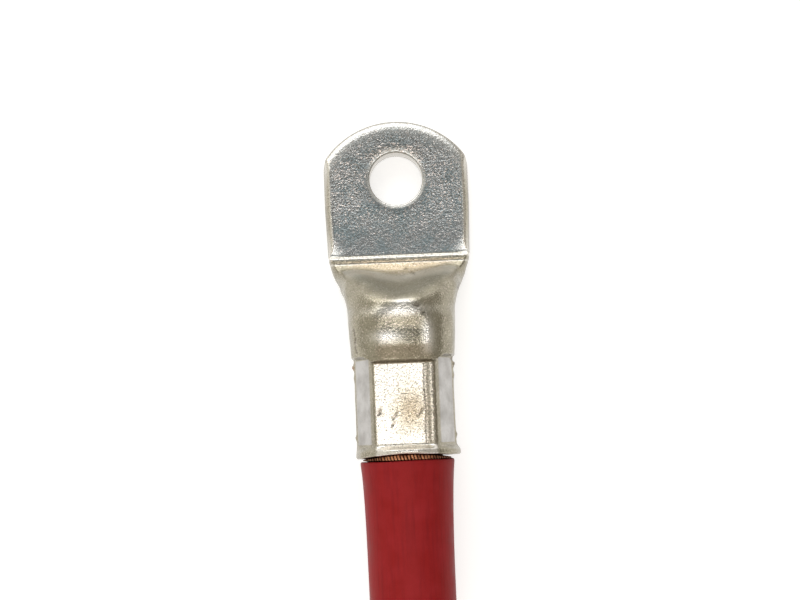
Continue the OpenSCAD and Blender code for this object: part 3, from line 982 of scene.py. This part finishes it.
def zone(tree, name):
    return node(tree, "ShaderNodeAttribute", {"attribute_name": name}).outputs["Fac"]


def join_surface(tree, base, gloss, relief, strength, depth_mm, settings):
    """Ends a material: a principled surface with a fine relief of a given strength and depth."""
    bump = node(tree, "ShaderNodeBump", {"Strength": strength, "Distance": depth_mm * MM},
                Height=relief)
    shader = node(tree, "ShaderNodeBsdfPrincipled", settings, Base_Color=base, Roughness=gloss,
                  Normal=bump.outputs[0])
    node(tree, "ShaderNodeOutputMaterial", Surface=shader.outputs[0])


def tin_plate(finish):
    """Electroplated tin on soft copper, pressed and crimped: a bright warm-white metal, finely
    pitted where the tool pressed it, matt where the dies' sides rubbed, with painted shade in its
    creases and corners and painted highlights and glints on its edges, crests and grain."""
    material, tree = new_material("tin_plate_on_copper")
    place = node(tree, "ShaderNodeTexCoord").outputs["Object"]
    pad, plate, burnish_and_highlight = zone(tree, "pad"), zone(tree, "plate"), zone(tree, "burnish_and_highlight")
    warm, grime_and_shade, copper = zone(tree, "warm"), zone(tree, "grime_and_shade"), zone(tree, "copper")
    bright, smooth, matt = zone(tree, "bright"), zone(tree, "smooth"), zone(tree, "matt")
    cloud = noise(tree, place, 2.6, 4)
    grit = noise(tree, place, 0.32, 2, 0.6)
    fine = noise(tree, place, 0.17, 1)
    patchy = ramp(tree, cloud, 0.35, 0.65)
    base = blend(tree, patchy, rgba(finish.tin_aged), linear("8C8777"))
    cool = blend(tree, patchy, rgba(finish.tin_cool), linear("78858A"))
    chalky = blend(tree, patchy, linear("C2C1C0"), linear("A9A7A5"))
    # Each coat: its zone, where in the zone it starts and is full, how strong it gets, its colour
    coats = (
        # Burnished tin, serving also as a painted highlight
        (burnish_and_highlight, 0, 1, 0.95, rgba(finish.tin)),
        (pad, 0, 1, 0.9, cool),
        # Warm tint with a painted highlight behind the step
        (warm, 0, 1, 0.8, linear("A99A82")),
        (plate, 0, 1, 0.95, chalky),
        # Painted highlight
        (bright, 0, 1, 1, linear("ECEAE6")),
        (copper, 0.3, 0.9, 0.8, rgba(finish.copper)),
        # One dark coat for dirt in scratches and pits and for painted shade
        (grime_and_shade, 0, 1, 0.85, linear("4E4433")),
    )
    for where, low, high, strength, coat in coats:
        base = blend(tree, ramp(tree, where, low, high, 0, strength), base, coat)
    # Pin-head pits that hold dirt, and as many painted glints, light specks of a lamp's reflection
    pitted = product(tree, ramp(tree, maths(tree, "MAXIMUM", pad, burnish_and_highlight), 0, 1, 0.5, 1),
                     ramp(tree, plate, 0, 1, 1, 0.3), ramp(tree, bright, 0, 0.8, 1, 0.3),
                     ramp(tree, smooth, 0, 1, 1, 0.5))
    pits = product(tree, ramp(tree, noise(tree, place, 0.26, 1), 0.56, 0.64, 0, 0.7), pitted)
    base = blend(tree, pits, base, linear("5E5646"))
    shift = {"Location": (0.05, 0.02, 0.01)}
    glint_place = node(tree, "ShaderNodeMapping", shift, Vector=place).outputs[0]
    painted_glints = product(tree, ramp(tree, noise(tree, glint_place, 0.26, 1), 0.58, 0.66, 0, 0.6), pitted)
    base = blend(tree, painted_glints, base, linear("DED0C8"))
    gloss = maths(tree, "ADD", ramp(tree, cloud, 0.3, 0.7, 0.17, 0.25), product(tree, plate, 0.25))
    gloss = maths(tree, "ADD", gloss, product(tree, matt, 0.22))
    # The grain is weaker where the dies rubbed it, where it is burnished and on the smooth pad
    coarse = product(tree, grit, ramp(tree, pad, 0, 1, 1.1, 1.0))
    relief = product(tree, maths(tree, "ADD", coarse, product(tree, fine, 0.4)),
                     ramp(tree, maths(tree, "MAXIMUM", plate, burnish_and_highlight), 0, 1, 1, 0.45),
                     ramp(tree, smooth, 0, 1, 1, 0.3))
    join_surface(tree, base, gloss, relief, 1.0, 0.055, {"Metallic": 1.0})
    return material


def copper_wire(finish):
    """Soft copper drawn through a die: bright and pinkish, with painted shade between the wires and
    at the bundle's sides by the lip.
    """
    material, tree = new_material("drawn_copper_wire")
    place = node(tree, "ShaderNodeTexCoord").outputs["Object"]
    dull = ramp(tree, noise(tree, place, 0.7, 3), 0.4, 0.6, 0, 0.8)
    base = blend(tree, dull, rgba(finish.wire), linear("5E3526"))
    # Painted shade from the points' fourth values: darker between the wires and at the sides by the
    # lip, and a little over the cut ends
    between = ramp(tree, zone(tree, "between"), 0.12, 0.4, 0, 0.95)
    base = blend(tree, between, base, linear("24120B"))
    join_surface(tree, base, 0.36, noise(tree, place, 0.1), 0.4, 0.02, {"Metallic": 1.0})
    return material


def red_pvc(finish):
    """Plasticised PVC extruded round the conductor: a deep red with a soft sheen, faint lines
    along the cable from the die and a bloom of scuffs."""
    material, tree = new_material("extruded_red_pvc")
    place = node(tree, "ShaderNodeTexCoord").outputs["Object"]
    long = node(tree, "ShaderNodeMapping", {"Scale": (1, 0.06, 1)}, Vector=place).outputs[0]
    lines = noise(tree, long, 0.5, 3)
    cloud = noise(tree, place, 3.5, 3)
    base = blend(tree, ramp(tree, cloud, 0.35, 0.7, 0, 0.5), rgba(finish.pvc), linear("98262C"))
    base = blend(tree, ramp(tree, lines, 0.45, 0.7, 0, 0.35), base, linear("6E1219"))
    gloss = ramp(tree, cloud, 0.3, 0.7, 0.42, 0.55)
    relief = maths(tree, "ADD", lines, product(tree, noise(tree, place, 0.25, 2), 0.35))
    plastic = {"IOR": 1.53, "Specular IOR Level": 0.12}
    join_surface(tree, base, gloss, relief, 0.5, 0.05, plastic)
    return material


def paper(name, glow):
    """White paper. It scatters the lamps' light, and rays that see it directly or through a mirror
    or glass get a glow as well, so that it reads as white and keeps a soft shadow."""
    material, tree = new_material(name)
    path = node(tree, "ShaderNodeLightPath")
    seen = maths(tree, "MAXIMUM", path.outputs["Is Camera Ray"], path.outputs["Is Glossy Ray"])
    seen = maths(tree, "MAXIMUM", seen, path.outputs["Is Transmission Ray"])
    diffuse = node(tree, "ShaderNodeBsdfDiffuse", {"Color": (0.62, 0.62, 0.62, 1)})
    emission = node(tree, "ShaderNodeEmission", {"Color": (1, 1, 1, 1)},
                    Strength=product(tree, seen, glow))
    both = node(tree, "ShaderNodeAddShader", {0: diffuse.outputs[0], 1: emission.outputs[0]})
    node(tree, "ShaderNodeOutputMaterial", Surface=both.outputs[0])
    return material


# Stage -------------------------------------------------------------------------------------------

# Where the camera looks and from how far, in mm, its lean and roll in degrees, and its lens
CAMERA_AIM = (-0.12, -19.71, 8.0)
CAMERA_DISTANCE = 256
CAMERA_LEAN = 4.6
CAMERA_ROLL = 2.35
CAMERA_LENS = 73.9
# Each softbox: its name, centre, aim, width, height and brightness, in metres
SOFTBOXES = (
    ("overhead_softbox", (0, -0.045, 0.5), (0, -0.045, 0), 0.30, 0.075, 3.8),
    ("tip_softbox", (-0.1, 0.503, 0.327), (0, 0, 0), 0.9, 0.46, 1.8),
)


def add_camera():
    """Camera above the lug, leaning back over the cable, with a long lens."""
    lean = np.radians(CAMERA_LEAN)
    roll = np.radians(CAMERA_ROLL)
    aim = Vector(CAMERA_AIM) * MM
    away = Vector((0, -np.sin(lean), np.cos(lean)))
    upright = Vector((0, np.cos(lean), np.sin(lean)))
    up = upright * np.cos(roll) + Vector((1, 0, 0)) * np.sin(roll)
    right = up.cross(away)
    data = bpy.data.cameras.new("camera")
    data.lens = CAMERA_LENS
    data.sensor_width = 36
    data.clip_start = 0.01
    camera = bpy.data.objects.new("camera", data)
    turn = Matrix((right, up, away)).transposed().to_4x4()
    camera.matrix_world = Matrix.Translation(aim + away * CAMERA_DISTANCE * MM) @ turn
    bpy.context.scene.collection.objects.link(camera)
    bpy.context.scene.camera = camera


def add_softbox(name, centre, aim, width, height, radiance):
    """Area light with a given brightness of its face; places and sizes in metres."""
    data = bpy.data.lights.new(name, "AREA")
    data.shape = "RECTANGLE"
    data.size = width
    data.size_y = height
    data.energy = radiance * np.pi * width * height
    light = bpy.data.objects.new(name, data)
    centre = Vector(centre)
    turn = (centre - Vector(aim)).to_track_quat("Z", "Y").to_matrix().to_4x4()
    light.matrix_world = Matrix.Translation(centre) @ turn
    bpy.context.scene.collection.objects.link(light)


def add_world():
    """A plain room: warm behind the cable, a dim cool strip just ahead of the zenith, brighter
    from there towards the tip, and duller on the right. It is white to rays that see it directly
    and, low down, to those that see it through a mirror or glass."""
    world = bpy.data.worlds.new("room")
    bpy.context.scene.world = world
    world.use_nodes = True
    tree = world.node_tree
    tree.nodes.clear()
    direction = node(tree, "ShaderNodeTexCoord").outputs["Generated"]
    parts = node(tree, "ShaderNodeSeparateXYZ", Vector=direction)
    forward, right = parts.outputs["Y"], parts.outputs["X"]
    room = (0.98, 0.88, 0.77, 1)
    # From the zenith to the tip: where the next light starts, where it is full, and its colour
    for start, full, light in ((0.045, 0.085, (0.11, 0.16, 0.19, 1)),
                               (0.11, 0.20, (0.45, 0.46, 0.45, 1)),
                               (0.3, 0.6, (0.9, 0.88, 0.83, 1))):
        room = blend(tree, ramp(tree, forward, start, full), room, light)
    beside = blend(tree, ramp(tree, right, -0.3, 0.3), (0.95, 0.92, 0.83, 1),
                   (0.80, 0.76, 0.68, 1))
    room = blend(tree, ramp(tree, maths(tree, "ABSOLUTE", right, 0), 0.3, 0.65), room, beside)
    room = blend(tree, ramp(tree, right, 0, 0.5, 0, 0.3), room, (0, 0, 0, 1))
    path = node(tree, "ShaderNodeLightPath")
    mirrored = maths(tree, "MAXIMUM", path.outputs["Is Glossy Ray"],
                     path.outputs["Is Transmission Ray"])
    low = ramp(tree, parts.outputs["Z"], 0.02, 0.10, 1, 0)
    seen = maths(tree, "MAXIMUM", path.outputs["Is Camera Ray"], product(tree, mirrored, low))
    shown = blend(tree, seen, room, (1, 1, 1, 1))
    background = node(tree, "ShaderNodeBackground", {"Strength": 1.0}, Color=shown)
    node(tree, "ShaderNodeOutputWorld", Surface=background.outputs[0])


def add_floor():
    """The white table that the lug lies on."""
    half = 1.5
    mesh = bpy.data.meshes.new("floor")
    mesh.from_pydata([(-half, -half, 0), (half, -half, 0), (half, half, 0), (-half, half, 0)], [],
                     [(0, 1, 2, 3)])
    mesh.materials.append(paper("white_paper", 0.60))
    floor = bpy.data.objects.new("floor", mesh)
    bpy.context.scene.collection.objects.link(floor)


# Operators ---------------------------------------------------------------------------------------

class CABLELUG_OT_stage(bpy.types.Operator):
    """Adds the camera, the floor and the lights"""
    bl_idname = "cable_lug.stage"
    bl_label = "Stage"

    def execute(self, context):
        add_camera()
        add_floor()
        add_world()
        for softbox in SOFTBOXES:
            add_softbox(*softbox)
        context.scene.view_settings.view_transform = "Standard"
        return {"FINISHED"}


class CABLELUG_OT_lug(bpy.types.Operator):
    """Builds the plated lug: palm, shoulder, barrel, crimp and lip in one surface"""
    bl_idname = "cable_lug.lug"
    bl_label = "Lug"

    def execute(self, context):
        points, triangles, zones = build_lug()
        add_piece("lug_body", points, triangles, tin_plate(context.scene.lug_finishes),
                  "lug", zones)
        return {"FINISHED"}


class CABLELUG_OT_conductor(bpy.types.Operator):
    """Builds the bundle of copper wires with its cut end"""
    bl_idname = "cable_lug.conductor"
    bl_label = "Conductor"

    def execute(self, context):
        c = cable_stations()
        points, triangles = weld(bundle_grid(c, lug_stations()), *wire_ends(c))
        add_piece("wire_bundle", points[:, :3], triangles, copper_wire(context.scene.lug_finishes),
                  "conductor", {"between": points[:, 3]})
        return {"FINISHED"}


class CABLELUG_OT_insulation(bpy.types.Operator):
    """Builds the red insulation"""
    bl_idname = "cable_lug.insulation"
    bl_label = "Insulation"

    def execute(self, context):
        points, triangles = weld(sheath_grid(cable_stations()))
        add_piece("insulation_sleeve", points, triangles, red_pvc(context.scene.lug_finishes),
                  "insulation")
        return {"FINISHED"}


class CABLELUG_PT_panel(bpy.types.Panel):
    """Lists the operators and the sizes and colours"""
    bl_label = "Cable Lug"
    bl_idname = "CABLELUG_PT_panel"
    bl_space_type = "VIEW_3D"
    bl_region_type = "UI"
    bl_category = "Cable Lug"

    def draw(self, context):
        for operator in OPERATORS:
            self.layout.operator(operator.bl_idname)
        for group in ("lug_sizes", "cable_sizes", "lug_finishes"):
            box = self.layout.box()
            settings = getattr(context.scene, group)
            for key in settings.__annotations__:
                box.prop(settings, key)


OPERATORS = (CABLELUG_OT_stage, CABLELUG_OT_lug, CABLELUG_OT_conductor, CABLELUG_OT_insulation)
GROUPS = {"lug_sizes": LugSizes, "cable_sizes": CableSizes, "lug_finishes": Finishes}


def register():
    for group in GROUPS.values():
        bpy.utils.register_class(group)
    for operator in OPERATORS:
        bpy.utils.register_class(operator)
    bpy.utils.register_class(CABLELUG_PT_panel)
    for name, group in GROUPS.items():
        setattr(bpy.types.Scene, name, bpy.props.PointerProperty(type=group))


def unregister():
    for name in GROUPS:
        delattr(bpy.types.Scene, name)
    bpy.utils.unregister_class(CABLELUG_PT_panel)
    for operator in reversed(OPERATORS):
        bpy.utils.unregister_class(operator)
    for group in reversed(list(GROUPS.values())):
        bpy.utils.unregister_class(group)


def main():
    """Builds everything."""
    register()
    bpy.ops.cable_lug.stage()
    bpy.ops.cable_lug.lug()
    bpy.ops.cable_lug.conductor()
    bpy.ops.cable_lug.insulation()


if __name__ == "__main__":
    main()
